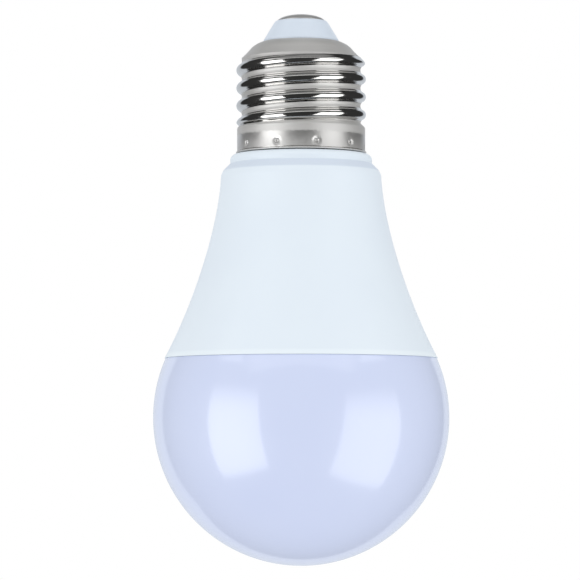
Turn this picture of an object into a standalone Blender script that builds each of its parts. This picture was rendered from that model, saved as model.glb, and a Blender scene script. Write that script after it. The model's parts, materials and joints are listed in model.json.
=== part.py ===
"""Smart LED light bulb with an E27 screw cap, built as an assembly of separate pieces.

The lamp hangs cap up. The origin is the centre of the contact's flat tip, +Z runs along
the lamp's axis and out of the cap, and -Y is the front. All sizes and places below are
in millimetres; the geometry is scaled by MM to Blender's metres.
"""
import math

import bmesh
import bpy
from mathutils import Matrix, Vector

MM = 0.001
GAP = 0.3                       # clearance between touching pieces

# Screw cap: E27 thread, 27 mm class
THREAD_PITCH = 3.629
THREAD_MAJOR_R = 13.15
THREAD_ROOT_R = 12.03
THREAD_PHASE_Z = -13.17         # height of a crest on the +X side
THREAD_TOP_Z = -8.4             # thread rises out of the dome here
THREAD_FULL_Z = -10.3
THREAD_FADE_Z = -22.0           # thread starts to run out into the skirt
THREAD_END_Z = -23.3
THREAD_LEVELS_PER_PITCH = 6
SHELL_WALL = 0.35
SHELL_MOUTH_R = 7.95            # opening for the insulator
SHELL_MOUTH_Z = -5.4
DOME_END_Z = -8.9               # the dome meets the thread's root here
SHELL_RIM_Z = -28.2
SKIRT_R = 13.0
LIP_DEPTH = 0.25                # rolled rim that stands out of the skirt
LIP_TOP_Z = -27.85
DENT_COUNT = 10
DENT_DEPTH = 0.6
DENT_Z = -26.75
DENT_AZIMUTH = math.radians(-76.3)

# Centre contact and insulator
CONTACT_LAND_R = 1.5
CONTACT_EDGE_R = 4.8
CONTACT_EDGE_Z = -1.35
CONTACT_EDGE_THICKNESS = 0.1
SHANK_R = 1.0
SHANK_END_Z = -9.0
INSULATOR_SHOULDER_R = 5.4
INSULATOR_CONE_R = 7.5          # widest part of the cone, inside the shell's mouth
INSULATOR_CONE_Z = -5.1
INSULATOR_FLANGE_R = 8.6
INSULATOR_FLANGE_Z = -6.9
INSULATOR_END_Z = -7.6

# Housing: a neck inside the cap, a collar under the rim and a flared body
HOUSING_WALL = 1.2
NECK_TOP_Z = -10.2
NECK_R = 10.4
NECK_BORE_R = 9.3
NECK_BORE_END_Z = -30.0
THROAT = (14.7, -33.8)          # the bore's cone meets the body's inside here
CRIMP_BAND_R = 12.25            # band under the skirt, with a groove for the punch marks
CRIMP_BAND_TOP_Z = -24.4
CRIMP_GROOVE_R = 11.4
CRIMP_GROOVE_HALF = 0.7
COLLAR_R = 14.38
COLLAR_TOP_Z = -28.5
COLLAR_FILLET = 1.15
COLLAR_END_Z = -30.4
SHOULDER = (15.9, -31.85)       # end of the slope between the collar and the body
BODY_TOP = (16.22, -32.8)
BODY_TOP_SLOPE = 0.051
BODY_SEAM = (27.6, -69.8)
BODY_SEAM_SLOPE = 0.529
BODY_REACH = 10.775             # length of each Bezier handle along the axis
MOUTH_BORE_R = 25.1
MOUTH_BORE_Z = -67.5

# Diffuser globe
GLOBE_R = 29.9
GLOBE_CENTRE_Z = -81.74
GLOBE_WALL = 1.2
GLOBE_FLANGE = 1.0              # thickness of the step that carries the plug-in lip
GLOBE_LIP_R = 24.1
GLOBE_LIP_BORE_R = 23.0
GLOBE_LIP_TOP_Z = -67.45

# Aluminium cup inside the housing
CUP_WALL = 0.8
CUP_TOP_Z = -35.5
CUP_RIM_Z = -67.1
CUP_CLEARANCE = HOUSING_WALL + GAP + 0.15
LEDGE_TOP_Z = -63.6
LEDGE_THICKNESS = 0.8
LEDGE_BORE_R = 17.8

# LED board, its pad and screws
PAD_THICKNESS = 0.4
BOARD_THICKNESS = 1.5
BOARD_R = 22.7
SCREW_CIRCLE_R = 20.2
SCREW_COUNT = 3
SCREW_SHANK_R = 1.05
SCREW_HEAD_R = 2.0
SCREW_HOLE_R = 1.3
LED_RING_R = 16.0
LED_RING_COUNT = 12
LED_SIZE = (3.5, 2.8, 0.8)
RGB_SIZE = (5.0, 5.0, 1.5)
RGB_PLACES = [(8.8, 5.8), (-8.8, 5.8), (8.8, -2.5), (-8.8, -2.5)]
LED_WINDOW_DEPTH = 0.15
LED_CHIP_PLACES = [(0.0, -3.6), (0.0, 9.8)]
SMALL_CHIP = (4.9, 3.9, 1.5)    # eight-lead package
SOCKET_SIZE = (11.0, 3.4, 3.2)
SOCKET_POCKET = (9.2, 1.5, 2.8)

# Driver board and wireless board, both upright
DRIVER_Y = 3.0
DRIVER_THICKNESS = 1.2
DRIVER_NECK_HALF = 7.8
DRIVER_WIDE_HALF = 12.2
DRIVER_TOP_Z = -13.0
DRIVER_STEP_Z = -35.0
DRIVER_END_Z = -60.0
WIFI_Y = -9.5
WIFI_THICKNESS = 0.8
WIFI_HALF = 8.0
WIFI_TOP_Z = -50.0
WIFI_END_Z = -72.0
SHIELD_SIZE = (12.0, 1.9, 11.0)
SHIELD_Z = -57.5

# Larger parts on the driver board
BULK_TOP = (0.0, -2.9, -12.0)
BULK_R = 5.0
BULK_LENGTH = 16.0
OUTPUT_TOP = (-5.2, 7.9, -46.5)
OUTPUT_R = 3.9
OUTPUT_LENGTH = 11.0
CORE_WIDTH = 13.0
CORE_HEIGHT = 11.0
CORE_DEPTH = 5.0
WINDOW_WIDTH = 2.8
WINDOW_HEIGHT = 7.6
WINDING_HEIGHT = 7.0
TRANSFORMER_Z = -42.5
CHOKE_X = -5.2
FILM_X = 5.6
FILM_SIZE = (9.0, 5.0, 8.0)
BACK_PARTS_Z = -41.0            # middle height of the choke and the film capacitor
BRIDGE_SIZE = (4.7, 3.8, 2.4)
BRIDGE_X = -6.5
DRIVER_CHIP_X = 6.0
LOW_CHIPS_Z = -54.5
RESISTOR_CENTRE = (0.0, 6.2, -21.0)
HEADER_SIZE = (10.0, 2.5, 2.5)
HEADER_PINS = 4
HEADER_PITCH = 2.2
PIN_WIDTH = 0.64

ROUND_SEGMENTS = 40
HOLE_SEGMENTS = 12

BOARD_TOP_Z = LEDGE_TOP_Z - LEDGE_THICKNESS - PAD_THICKNESS - 2 * GAP
BOARD_FACE_Z = BOARD_TOP_Z - BOARD_THICKNESS
DRIVER_FRONT_Y = DRIVER_Y - DRIVER_THICKNESS / 2
DRIVER_BACK_Y = DRIVER_Y + DRIVER_THICKNESS / 2


# ---------------------------------------------------------------- scene and materials

def clear_scene():
    for old in list(bpy.data.objects):
        bpy.data.objects.remove(old, do_unlink=True)


def new_collection(name):
    collection = bpy.data.collections.new(name)
    bpy.context.scene.collection.children.link(collection)
    return collection


clear_scene()
PARTS = new_collection("smart_light_bulb")
CUTTERS = new_collection("cutters")


def material(name, colour, roughness, metallic=0.0):
    surface = bpy.data.materials.new(name)
    surface.use_nodes = True
    shader = surface.node_tree.nodes["Principled BSDF"]
    shader.inputs["Base Color"].default_value = (*colour, 1.0)
    shader.inputs["Roughness"].default_value = roughness
    shader.inputs["Metallic"].default_value = metallic
    return surface


NICKEL = material("nickel", (0.66, 0.65, 0.63), 0.22, 1.0)
WHITE_PLASTIC = material("white_plastic", (0.78, 0.83, 0.89), 0.42)
INSULATOR_PLASTIC = material("insulator_plastic", (0.70, 0.77, 0.86), 0.38)
OPAL_PLASTIC = material("opal_plastic", (0.66, 0.71, 0.90), 0.16)
ALUMINIUM = material("aluminium", (0.80, 0.80, 0.81), 0.35, 1.0)
SILICONE = material("silicone", (0.85, 0.85, 0.84), 0.5)
SOLDER_MASK = material("white_solder_mask", (0.86, 0.87, 0.86), 0.35)
GREEN_BOARD = material("green_board", (0.03, 0.18, 0.08), 0.4)
BLUE_BOARD = material("blue_board", (0.02, 0.08, 0.24), 0.4)
PAD_GREY = material("pad_grey", (0.42, 0.44, 0.47), 0.7)
WARM_PHOSPHOR = material("warm_phosphor", (0.90, 0.55, 0.10), 0.4)
COOL_PHOSPHOR = material("cool_phosphor", (0.88, 0.80, 0.25), 0.4)
RGB_WHITE = material("rgb_white", (0.85, 0.86, 0.85), 0.35)
CHIP_BLACK = material("chip_black", (0.02, 0.02, 0.022), 0.45)
CAN_SLEEVE = material("can_sleeve", (0.03, 0.05, 0.12), 0.35)
FERRITE = material("ferrite", (0.09, 0.09, 0.10), 0.6)
WINDING_TAPE = material("winding_tape", (0.80, 0.62, 0.12), 0.4)
FILM_YELLOW = material("film_yellow", (0.80, 0.55, 0.08), 0.4)
RESISTOR_BLUE = material("resistor_blue", (0.18, 0.42, 0.55), 0.45)
SLEEVE_BLACK = material("sleeve_black", (0.03, 0.03, 0.03), 0.6)
STEEL = material("steel", (0.60, 0.60, 0.62), 0.3, 1.0)
CONNECTOR_CREAM = material("connector_cream", (0.82, 0.79, 0.68), 0.45)
WIRE_RED = material("wire_red", (0.50, 0.03, 0.03), 0.45)
WIRE_BLACK = material("wire_black", (0.03, 0.03, 0.035), 0.45)


# ---------------------------------------------------------------- modelling helpers

def add_object(name, data, surface=None, collection=PARTS):
    """Link a new object; cutters get no material and stay out of renders."""
    piece = bpy.data.objects.new(name, data)
    collection.objects.link(piece)
    if surface:
        data.materials.append(surface)
    if collection is CUTTERS:
        piece.hide_render = True
        piece.display_type = "WIRE"
    return piece


def place(piece, centre, turn=(0.0, 0.0, 0.0)):
    """Put a piece at a centre in millimetres, turned by Euler angles in degrees."""
    piece.location = Vector(centre) * MM
    piece.rotation_euler = [math.radians(angle) for angle in turn]
    return piece


def lathe(name, outline, surface, segments=ROUND_SEGMENTS, ring=False):
    """Turn an outline of (radius, height) about Z; a ring's outline closes on itself."""
    mesh = bpy.data.meshes.new(name)
    points = [(radius * MM, 0.0, height * MM) for radius, height in outline]
    edges = [(i, i + 1) for i in range(len(points) - 1)]
    if ring:
        edges.append((len(points) - 1, 0))
    mesh.from_pydata(points, edges, [])
    piece = add_object(name, mesh, surface)
    turn = piece.modifiers.new("turn", "SCREW")
    turn.steps = segments
    turn.render_steps = segments
    turn.use_merge_vertices = True
    turn.merge_threshold = 0.00001
    return piece


def drill(name, radius, depth):
    """A round cutter along Z."""
    mesh = bpy.data.meshes.new(name)
    shape = bmesh.new()
    bmesh.ops.create_cone(shape, cap_ends=True, segments=HOLE_SEGMENTS, radius1=radius * MM,
                          radius2=radius * MM, depth=depth * MM)
    shape.to_mesh(mesh)
    shape.free()
    return add_object(name, mesh, None, CUTTERS)


def box_mesh(name, size):
    mesh = bpy.data.meshes.new(name)
    shape = bmesh.new()
    bmesh.ops.create_cube(shape, size=1.0)
    bmesh.ops.scale(shape, vec=Vector(size) * MM, verts=shape.verts)
    shape.to_mesh(mesh)
    shape.free()
    return mesh


def box(name, size, surface=None, bevel=0.0, collection=PARTS):
    piece = add_object(name, box_mesh(name, size), surface, collection)
    if bevel:
        edge = piece.modifiers.new("rounded_edges", "BEVEL")
        edge.width = bevel * MM
        edge.segments = 1
    return piece


def plate(name, loops, thickness, surface):
    """Extrude flat outlines; the loops after the first are holes."""
    curve = bpy.data.curves.new(name, "CURVE")
    curve.dimensions = "2D"
    curve.fill_mode = "BOTH"
    curve.extrude = thickness * MM / 2
    for loop in loops:
        spline = curve.splines.new("POLY")
        spline.points.add(len(loop) - 1)
        for point, (x, y) in zip(spline.points, loop):
            point.co = (x * MM, y * MM, 0.0, 1.0)
        spline.use_cyclic_u = True
    return add_object(name, curve, surface)


def wire_curve(name, route, radii, surface=None, collection=PARTS):
    """A round wire along a smooth curve through the route's own points.

    The first radius holds up to the middle of the route and the second from there on.
    """
    curve = bpy.data.curves.new(name, "CURVE")
    curve.dimensions = "3D"
    curve.bevel_depth = MM
    curve.bevel_resolution = 2
    curve.use_fill_caps = True
    spline = curve.splines.new("POLY")
    path = smooth_route(route)
    spline.points.add(len(path) - 1)
    for index, (point, place_mm) in enumerate(zip(spline.points, path)):
        share = index / (len(path) - 1)
        point.co = (*(place_mm * MM), 1.0)
        point.radius = radii[0] if share < 0.5 else radii[1]
    return add_object(name, curve, surface, collection)


def smooth_route(route, steps=2):
    """Points of a Catmull-Rom curve through the route."""
    knots = [Vector(point) for point in route]
    ends = [2 * knots[0] - knots[1]] + knots + [2 * knots[-1] - knots[-2]]
    path = []
    for i in range(1, len(ends) - 2):
        before, start, finish, after = ends[i - 1:i + 3]
        for step in range(steps):
            t = step / steps
            path.append(0.5 * (2 * start + (finish - before) * t
                               + (2 * before - 5 * start + 4 * finish - after) * t ** 2
                               + (3 * start - before - 3 * finish + after) * t ** 3))
    path.append(knots[-1])
    return path


def as_mesh(piece):
    """Replace a curve, or an object with modifiers, by its welded mesh."""
    bpy.context.view_layer.update()
    evaluated = piece.evaluated_get(bpy.context.evaluated_depsgraph_get())
    mesh = bpy.data.meshes.new_from_object(evaluated)
    shape = bmesh.new()
    shape.from_mesh(mesh)
    bmesh.ops.remove_doubles(shape, verts=shape.verts, dist=0.000001)
    shape.to_mesh(mesh)
    shape.free()
    name = piece.name
    collection = piece.users_collection[0]
    matrix = piece.matrix_world.copy()
    bpy.data.objects.remove(piece, do_unlink=True)
    solid = add_object(name, mesh, None, collection)
    solid.matrix_world = matrix
    return solid


def combine(target, tool, operation):
    step = target.modifiers.new(tool.name, "BOOLEAN")
    step.operation = operation
    step.solver = "EXACT"
    step.object = tool
    return target


def arc(centre, radius, start, end, steps):
    """Points of an arc from start to end degrees, both ends included."""
    angles = [math.radians(start + (end - start) * i / steps) for i in range(steps + 1)]
    return [(centre[0] + radius * math.cos(a), centre[1] + radius * math.sin(a)) for a in angles]


def circle(centre, radius, segments=HOLE_SEGMENTS):
    return arc(centre, radius, 0, 360, segments)[:-1]


def rectangle(centre, width, height):
    x, y = centre
    return [(x - width / 2, y - height / 2), (x + width / 2, y - height / 2),
            (x + width / 2, y + height / 2), (x - width / 2, y + height / 2)]


def bezier(start, start_handle, end_handle, end, steps):
    points = []
    for i in range(steps + 1):
        t = i / steps
        s = 1 - t
        points.append(tuple(s ** 3 * a + 3 * s * s * t * b + 3 * s * t * t * c + t ** 3 * d
                            for a, b, c, d in zip(start, start_handle, end_handle, end)))
    return points


def smoothstep(low, high, value):
    t = min(1.0, max(0.0, (value - low) / (high - low)))
    return t * t * (3 - 2 * t)


def offset_inward(outline, distance):
    """Shift an open outline that runs down its outer side towards the axis side."""
    points = [Vector(point) for point in outline]
    shifted = []
    for i, point in enumerate(points):
        along = points[min(i + 1, len(points) - 1)] - points[max(i - 1, 0)]
        inward = Vector((along.y, -along.x)).normalized()
        shifted.append(tuple(point + inward * distance))
    return shifted


def body_outline(steps=8):
    """The housing's flared outer side, from under the collar to the seam."""
    top_r, top_z = BODY_TOP
    seam_r, seam_z = BODY_SEAM
    leaving = (top_r + BODY_TOP_SLOPE * BODY_REACH, top_z - BODY_REACH)
    arriving = (seam_r - BODY_SEAM_SLOPE * BODY_REACH, seam_z + BODY_REACH)
    return bezier(BODY_TOP, leaving, arriving, BODY_SEAM, steps)


def body_radius(height):
    """Outer radius of the flared body at a height."""
    outline = body_outline(60)
    for (r1, z1), (r2, z2) in zip(outline, outline[1:]):
        if z2 <= height <= z1:
            return r1 + (r2 - r1) * (height - z1) / (z2 - z1)
    return outline[0][0] if height > outline[0][1] else outline[-1][0]


# ---------------------------------------------------------------- cap

def contact_eyelet():
    """Domed contact button with the shank that is pressed through the insulator."""
    under_z = CONTACT_EDGE_Z - CONTACT_EDGE_THICKNESS
    dome = [(CONTACT_LAND_R, 0.0), (2.6, -0.2), (3.5, -0.48), (4.2, -0.83),
            (CONTACT_EDGE_R - 0.12, CONTACT_EDGE_Z + 0.17)]
    outline = [(0.0, 0.0)] + dome
    outline += [(CONTACT_EDGE_R, CONTACT_EDGE_Z), (CONTACT_EDGE_R - 0.1, under_z)]
    outline += [(SHANK_R, under_z), (SHANK_R, SHANK_END_Z + 0.5)]
    outline += [(SHANK_R * 0.6, SHANK_END_Z), (0.0, SHANK_END_Z)]
    return lathe("contact_eyelet", outline, NICKEL, segments=28)


def cap_insulator():
    """Plastic cone that holds the contact, with a flange inside the shell's dome."""
    seat_z = CONTACT_EDGE_Z - CONTACT_EDGE_THICKNESS - GAP
    bore_r = SHANK_R + GAP
    outline = [(bore_r, seat_z), (INSULATOR_SHOULDER_R - 0.3, seat_z)]
    outline += [(INSULATOR_SHOULDER_R, seat_z - 0.13), (INSULATOR_CONE_R, INSULATOR_CONE_Z)]
    outline += [(INSULATOR_CONE_R, INSULATOR_FLANGE_Z + 0.5), (INSULATOR_FLANGE_R, INSULATOR_FLANGE_Z)]
    outline += [(INSULATOR_FLANGE_R, INSULATOR_END_Z), (bore_r, INSULATOR_END_Z)]
    return lathe("cap_insulator", outline, INSULATOR_PLASTIC, segments=32, ring=True)


def shell_outline():
    """Outer side of the shell at its root radius: dome, thread zone, skirt and rim lip."""
    dome = [(SHELL_MOUTH_R, SHELL_MOUTH_Z), (8.76, -5.82), (9.47, -6.27), (10.12, -6.88),
            (10.78, -7.7), (11.45, -8.35), (THREAD_ROOT_R, DOME_END_Z)]
    thread_height = DOME_END_Z - THREAD_END_Z
    levels = round(thread_height / THREAD_PITCH * THREAD_LEVELS_PER_PITCH)
    heights = [DOME_END_Z - thread_height * i / levels for i in range(1, levels + 1)]
    heights += [DENT_Z + 0.9, DENT_Z, LIP_TOP_Z + 0.25]
    wall = [(THREAD_ROOT_R, height) for height in heights]
    lip_r = THREAD_ROOT_R + LIP_DEPTH
    return dome + wall + [(lip_r, LIP_TOP_Z), (lip_r, SHELL_RIM_Z)]


def thread_rise(azimuth, height):
    """How far the thread or the skirt stands out of the root at a place on the shell."""
    turns = (height - THREAD_PHASE_Z) / THREAD_PITCH - azimuth / (2 * math.pi)
    grown = smoothstep(-THREAD_TOP_Z, -THREAD_FULL_Z, -height)
    faded = 1 - smoothstep(-THREAD_FADE_Z, -THREAD_END_Z, -height)
    depth = THREAD_MAJOR_R - THREAD_ROOT_R
    thread = depth * grown * faded * (0.5 + 0.5 * math.cos(2 * math.pi * turns))
    skirt = (SKIRT_R - THREAD_ROOT_R) * smoothstep(-THREAD_FADE_Z, -THREAD_END_Z, -height)
    return max(thread, skirt)


def is_dent(azimuth, height):
    """True at the middle of a punch mark; the marks are spread evenly round the skirt."""
    turn = (azimuth - DENT_AZIMUTH) * DENT_COUNT / (2 * math.pi)
    return abs(height - DENT_Z) < 0.1 and abs(turn - round(turn)) < 0.1


def screw_shell():
    """Thin nickelled shell; the thread is rolled, so it shows inside and out."""
    outer = shell_outline()
    inner = offset_inward(outer[:-2], SHELL_WALL)
    inner.append((THREAD_ROOT_R - SHELL_WALL, SHELL_RIM_Z))
    turned = lathe("screw_shell", outer + inner[::-1], NICKEL, ring=True)
    column = math.radians(360 / ROUND_SEGMENTS)
    turned.rotation_euler.z = DENT_AZIMUTH % column
    shell = as_mesh(turned)
    shell.data.transform(shell.matrix_world)
    shell.matrix_world = Matrix.Identity(4)
    for vertex in shell.data.vertices:
        x, y, z = vertex.co / MM
        radius = math.hypot(x, y)
        azimuth = math.atan2(y, x)
        rise = thread_rise(azimuth, z) if z < THREAD_TOP_Z else 0.0
        if is_dent(azimuth, z):
            rise -= DENT_DEPTH
        vertex.co.x *= (radius + rise) / radius
        vertex.co.y *= (radius + rise) / radius
    return shell


# ---------------------------------------------------------------- housing, cup and globe

def housing():
    """One moulding: neck inside the cap, crimp band, collar and flared body."""
    groove_top_z = DENT_Z + CRIMP_GROOVE_HALF
    groove_end_z = DENT_Z - CRIMP_GROOVE_HALF
    outside = [(NECK_R, NECK_TOP_Z), (NECK_R, CRIMP_BAND_TOP_Z + 0.5), (CRIMP_BAND_R, CRIMP_BAND_TOP_Z)]
    outside += [(CRIMP_BAND_R, groove_top_z + 0.5), (CRIMP_GROOVE_R, groove_top_z)]
    outside += [(CRIMP_GROOVE_R, groove_end_z), (CRIMP_BAND_R, groove_end_z - 0.4)]
    outside += [(CRIMP_BAND_R, COLLAR_TOP_Z), (COLLAR_R - COLLAR_FILLET, COLLAR_TOP_Z)]
    fillet_centre = (COLLAR_R - COLLAR_FILLET, COLLAR_TOP_Z - COLLAR_FILLET)
    body = body_outline()
    outside += arc(fillet_centre, COLLAR_FILLET, 75, 0, 3) + [(COLLAR_R, COLLAR_END_Z), SHOULDER] + body
    flare = [point for point in offset_inward(body, HOUSING_WALL)
             if THROAT[1] - 0.2 > point[1] > MOUTH_BORE_Z + 1.0]
    inside = [(NECK_BORE_R, NECK_TOP_Z), (NECK_BORE_R, NECK_BORE_END_Z), THROAT]
    inside += flare + [(MOUTH_BORE_R, MOUTH_BORE_Z), (MOUTH_BORE_R, BODY_SEAM[1])]
    return lathe("housing", outside + inside[::-1], WHITE_PLASTIC, ring=True)


def heat_sink_cup():
    """Aluminium cup against the housing's inside, with a ledge for the LED board."""
    heights = [CUP_TOP_Z - (CUP_TOP_Z - LEDGE_TOP_Z) * i / 5 for i in range(6)]
    outside = [(body_radius(z) - CUP_CLEARANCE, z) for z in heights + [CUP_RIM_Z]]
    wall = [(r - CUP_WALL, z) for r, z in outside]
    ledge_end_z = LEDGE_TOP_Z - LEDGE_THICKNESS
    ledge = [(LEDGE_BORE_R, LEDGE_TOP_Z), (LEDGE_BORE_R, ledge_end_z)]
    below_r = body_radius(ledge_end_z) - CUP_CLEARANCE - CUP_WALL
    inside = wall[:-1] + ledge + [(below_r, ledge_end_z), wall[-1]]
    cup = lathe("heat_sink_cup", outside + inside[::-1], ALUMINIUM, ring=True)
    for index, (x, y) in enumerate(screw_places(), 1):
        hole = drill(f"ledge_hole_{index}", SCREW_HOLE_R, 2.0)
        place(hole, (x, y, LEDGE_TOP_Z - LEDGE_THICKNESS / 2))
        combine(cup, hole, "DIFFERENCE")
    return cup


def globe_arc(radius, start_z, steps_above, steps_below):
    """Outline of a sphere from a height above its middle down to its bottom pole."""
    start = math.degrees(math.asin((start_z - GLOBE_CENTRE_Z) / radius))
    centre = (0.0, GLOBE_CENTRE_Z)
    above = arc(centre, radius, start, 0, steps_above)
    below = arc(centre, radius, 0, -90, steps_below)
    return above + below[1:-1] + [(0.0, GLOBE_CENTRE_Z - radius)]


def globe_diffuser():
    """Opal globe with the lip that plugs into the housing's mouth."""
    seam_z = BODY_SEAM[1] - GAP
    flange_z = seam_z - GLOBE_FLANGE
    outside = globe_arc(GLOBE_R, seam_z, 3, 10)
    inside = globe_arc(GLOBE_R - GLOBE_WALL, flange_z, 3, 9)
    lip = [(GLOBE_LIP_BORE_R, flange_z), (GLOBE_LIP_BORE_R, GLOBE_LIP_TOP_Z)]
    lip += [(GLOBE_LIP_R, GLOBE_LIP_TOP_Z), (GLOBE_LIP_R, seam_z)]
    return lathe("globe_diffuser", inside[::-1] + lip + outside, OPAL_PLASTIC)


def globe_adhesive():
    """Silicone bead between the globe's lip and the housing's mouth."""
    inner, outer = GLOBE_LIP_R + GAP, MOUTH_BORE_R - GAP
    top, bottom = MOUTH_BORE_Z - GAP, BODY_SEAM[1] + GAP
    outline = [(outer, top), (outer, bottom), (inner, bottom), (inner, top)]
    return lathe("globe_adhesive", outline, SILICONE, ring=True)


# ---------------------------------------------------------------- LED engine

def screw_places():
    turns = [math.radians(90 + 360 * i / SCREW_COUNT) for i in range(SCREW_COUNT)]
    return [(SCREW_CIRCLE_R * math.cos(a), SCREW_CIRCLE_R * math.sin(a)) for a in turns]


def screw_holes():
    return [circle(centre, SCREW_HOLE_R) for centre in screw_places()]


def led_board():
    """Aluminium-cored board with slots for the wireless board and the pin header."""
    antenna_slot = rectangle((0.0, WIFI_Y), 2 * WIFI_HALF + 1.0, WIFI_THICKNESS + 0.8)
    pin_slot = rectangle((0.0, DRIVER_Y), 9.4, 1.6)
    loops = [circle((0.0, 0.0), BOARD_R, ROUND_SEGMENTS), antenna_slot, pin_slot]
    board = plate("led_board", loops + screw_holes(), BOARD_THICKNESS, SOLDER_MASK)
    return place(board, (0.0, 0.0, (BOARD_TOP_Z + BOARD_FACE_Z) / 2))


def thermal_pad():
    """Ring of gap pad between the ledge and the board."""
    loops = [circle((0.0, 0.0), 22.3, ROUND_SEGMENTS),
             circle((0.0, 0.0), LEDGE_BORE_R + 0.2, ROUND_SEGMENTS)]
    pad = plate("thermal_pad", loops + screw_holes(), PAD_THICKNESS, PAD_GREY)
    return place(pad, (0.0, 0.0, BOARD_TOP_Z + GAP + PAD_THICKNESS / 2))


def board_screws():
    """Pan head screws with a cross recess, driven up through board, pad and ledge."""
    head_z = BOARD_FACE_Z - GAP
    outline = [(0.0, 4.6), (SCREW_SHANK_R * 0.6, 4.6), (SCREW_SHANK_R, 4.0), (SCREW_SHANK_R, 0.0)]
    outline += [(SCREW_HEAD_R, 0.0), (SCREW_HEAD_R, -0.7), (1.5, -1.25), (0.0, -1.4)]
    long_arm = box("recess_long_arm", (2.0, 0.5, 1.6), collection=CUTTERS)
    cross_arm = box("recess_cross_arm", (0.5, 2.0, 1.6), collection=CUTTERS)
    pattern = lathe("board_screw_pattern", outline, STEEL, segments=16)
    for arm in (long_arm, cross_arm):
        place(arm, (0.0, 0.0, -1.6))
        combine(pattern, arm, "DIFFERENCE")
    pattern = as_mesh(pattern)
    mesh = pattern.data
    bpy.data.objects.remove(pattern, do_unlink=True)
    for arm in (long_arm, cross_arm):
        bpy.data.objects.remove(arm, do_unlink=True)
    for index, (x, y) in enumerate(screw_places(), 1):
        screw = bpy.data.objects.new(f"board_screw_{index}", mesh)
        PARTS.objects.link(screw)
        place(screw, (x, y, head_z))


def led_mesh(name, size, surface, well):
    """Package with a sunken light window on its lower face."""
    mesh = box_mesh(name, size)
    shape = bmesh.new()
    shape.from_mesh(mesh)
    shape.faces.ensure_lookup_table()
    window = min(shape.faces, key=lambda face: face.calc_center_median().z)
    bmesh.ops.inset_individual(shape, faces=[window], thickness=well * MM)
    bmesh.ops.inset_individual(shape, faces=[window], thickness=0.1 * MM, depth=-LED_WINDOW_DEPTH * MM)
    shape.to_mesh(mesh)
    shape.free()
    mesh.materials.append(surface)
    return mesh


def place_led(name, mesh, thickness, place_xy, turn=0.0):
    led = bpy.data.objects.new(name, mesh)
    PARTS.objects.link(led)
    x, y = place_xy
    return place(led, (x, y, BOARD_FACE_Z - GAP - thickness / 2), (0.0, 0.0, turn))


def white_leds():
    """Warm and cool white LEDs take turns round the ring, long side along the ring."""
    warm = led_mesh("warm_led", LED_SIZE, WARM_PHOSPHOR, 0.3)
    cool = led_mesh("cool_led", LED_SIZE, COOL_PHOSPHOR, 0.3)
    for index in range(LED_RING_COUNT):
        angle = 15 + 360 * index / LED_RING_COUNT
        spot = [LED_RING_R * math.cos(math.radians(angle)),
                LED_RING_R * math.sin(math.radians(angle))]
        kind, mesh = ("warm", warm) if index % 2 == 0 else ("cool", cool)
        place_led(f"{kind}_led_{index // 2 + 1}", mesh, LED_SIZE[2], spot, angle + 90)


def colour_leds():
    mesh = led_mesh("rgb_led", RGB_SIZE, RGB_WHITE, 0.5)
    for index, spot in enumerate(RGB_PLACES, 1):
        place_led(f"rgb_led_{index}", mesh, RGB_SIZE[2], spot)


def chip(name, body, pins_per_side, centre, turn):
    """Moulded package with flat leads along two sides; its lower side faces -Z."""
    package = box(name, body, CHIP_BLACK, bevel=0.2)
    pitch = 1.27
    for index in range(pins_per_side):
        x = (index - (pins_per_side - 1) / 2) * pitch
        lead = box(f"{name}_lead_{index + 1}", (0.42, body[1] + 2.0, 0.25), collection=CUTTERS)
        place(lead, (x, 0.0, -body[2] / 2 + 0.4))
        combine(package, lead, "UNION")
    solid = as_mesh(package)
    for index in range(pins_per_side):
        bpy.data.objects.remove(bpy.data.objects[f"{name}_lead_{index + 1}"], do_unlink=True)
    return place(solid, centre, turn)


def led_driver_chips():
    height = BOARD_FACE_Z - GAP - SMALL_CHIP[2] / 2
    for index, (x, y) in enumerate(LED_CHIP_PLACES, 1):
        chip(f"led_driver_chip_{index}", SMALL_CHIP, 4, (x, y, height), (180, 0, 0))


def led_connector():
    """Socket on the LED side of the board that takes the header's pins."""
    socket = box("led_connector", SOCKET_SIZE, CONNECTOR_CREAM, bevel=0.25)
    place(socket, (0.0, DRIVER_Y, BOARD_FACE_Z - GAP - SOCKET_SIZE[2] / 2))
    pocket = box("socket_pocket", SOCKET_POCKET, collection=CUTTERS)
    place(pocket, (0.0, DRIVER_Y, BOARD_FACE_Z - GAP))
    return combine(socket, pocket, "DIFFERENCE")


# ---------------------------------------------------------------- driver electronics

def driver_board():
    """Upright board: a narrow tongue in the neck and a wide part in the body."""
    half_outline = [(DRIVER_NECK_HALF - 0.8, DRIVER_TOP_Z), (DRIVER_NECK_HALF, DRIVER_TOP_Z - 0.8),
                    (DRIVER_NECK_HALF, DRIVER_STEP_Z + 1.2), (DRIVER_WIDE_HALF, DRIVER_STEP_Z),
                    (DRIVER_WIDE_HALF, DRIVER_END_Z)]
    other_half = [(-x, z) for x, z in reversed(half_outline)]
    board = plate("driver_board", [half_outline + other_half], DRIVER_THICKNESS, GREEN_BOARD)
    return place(board, (0.0, DRIVER_Y, 0.0), (90, 0, 0))


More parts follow.
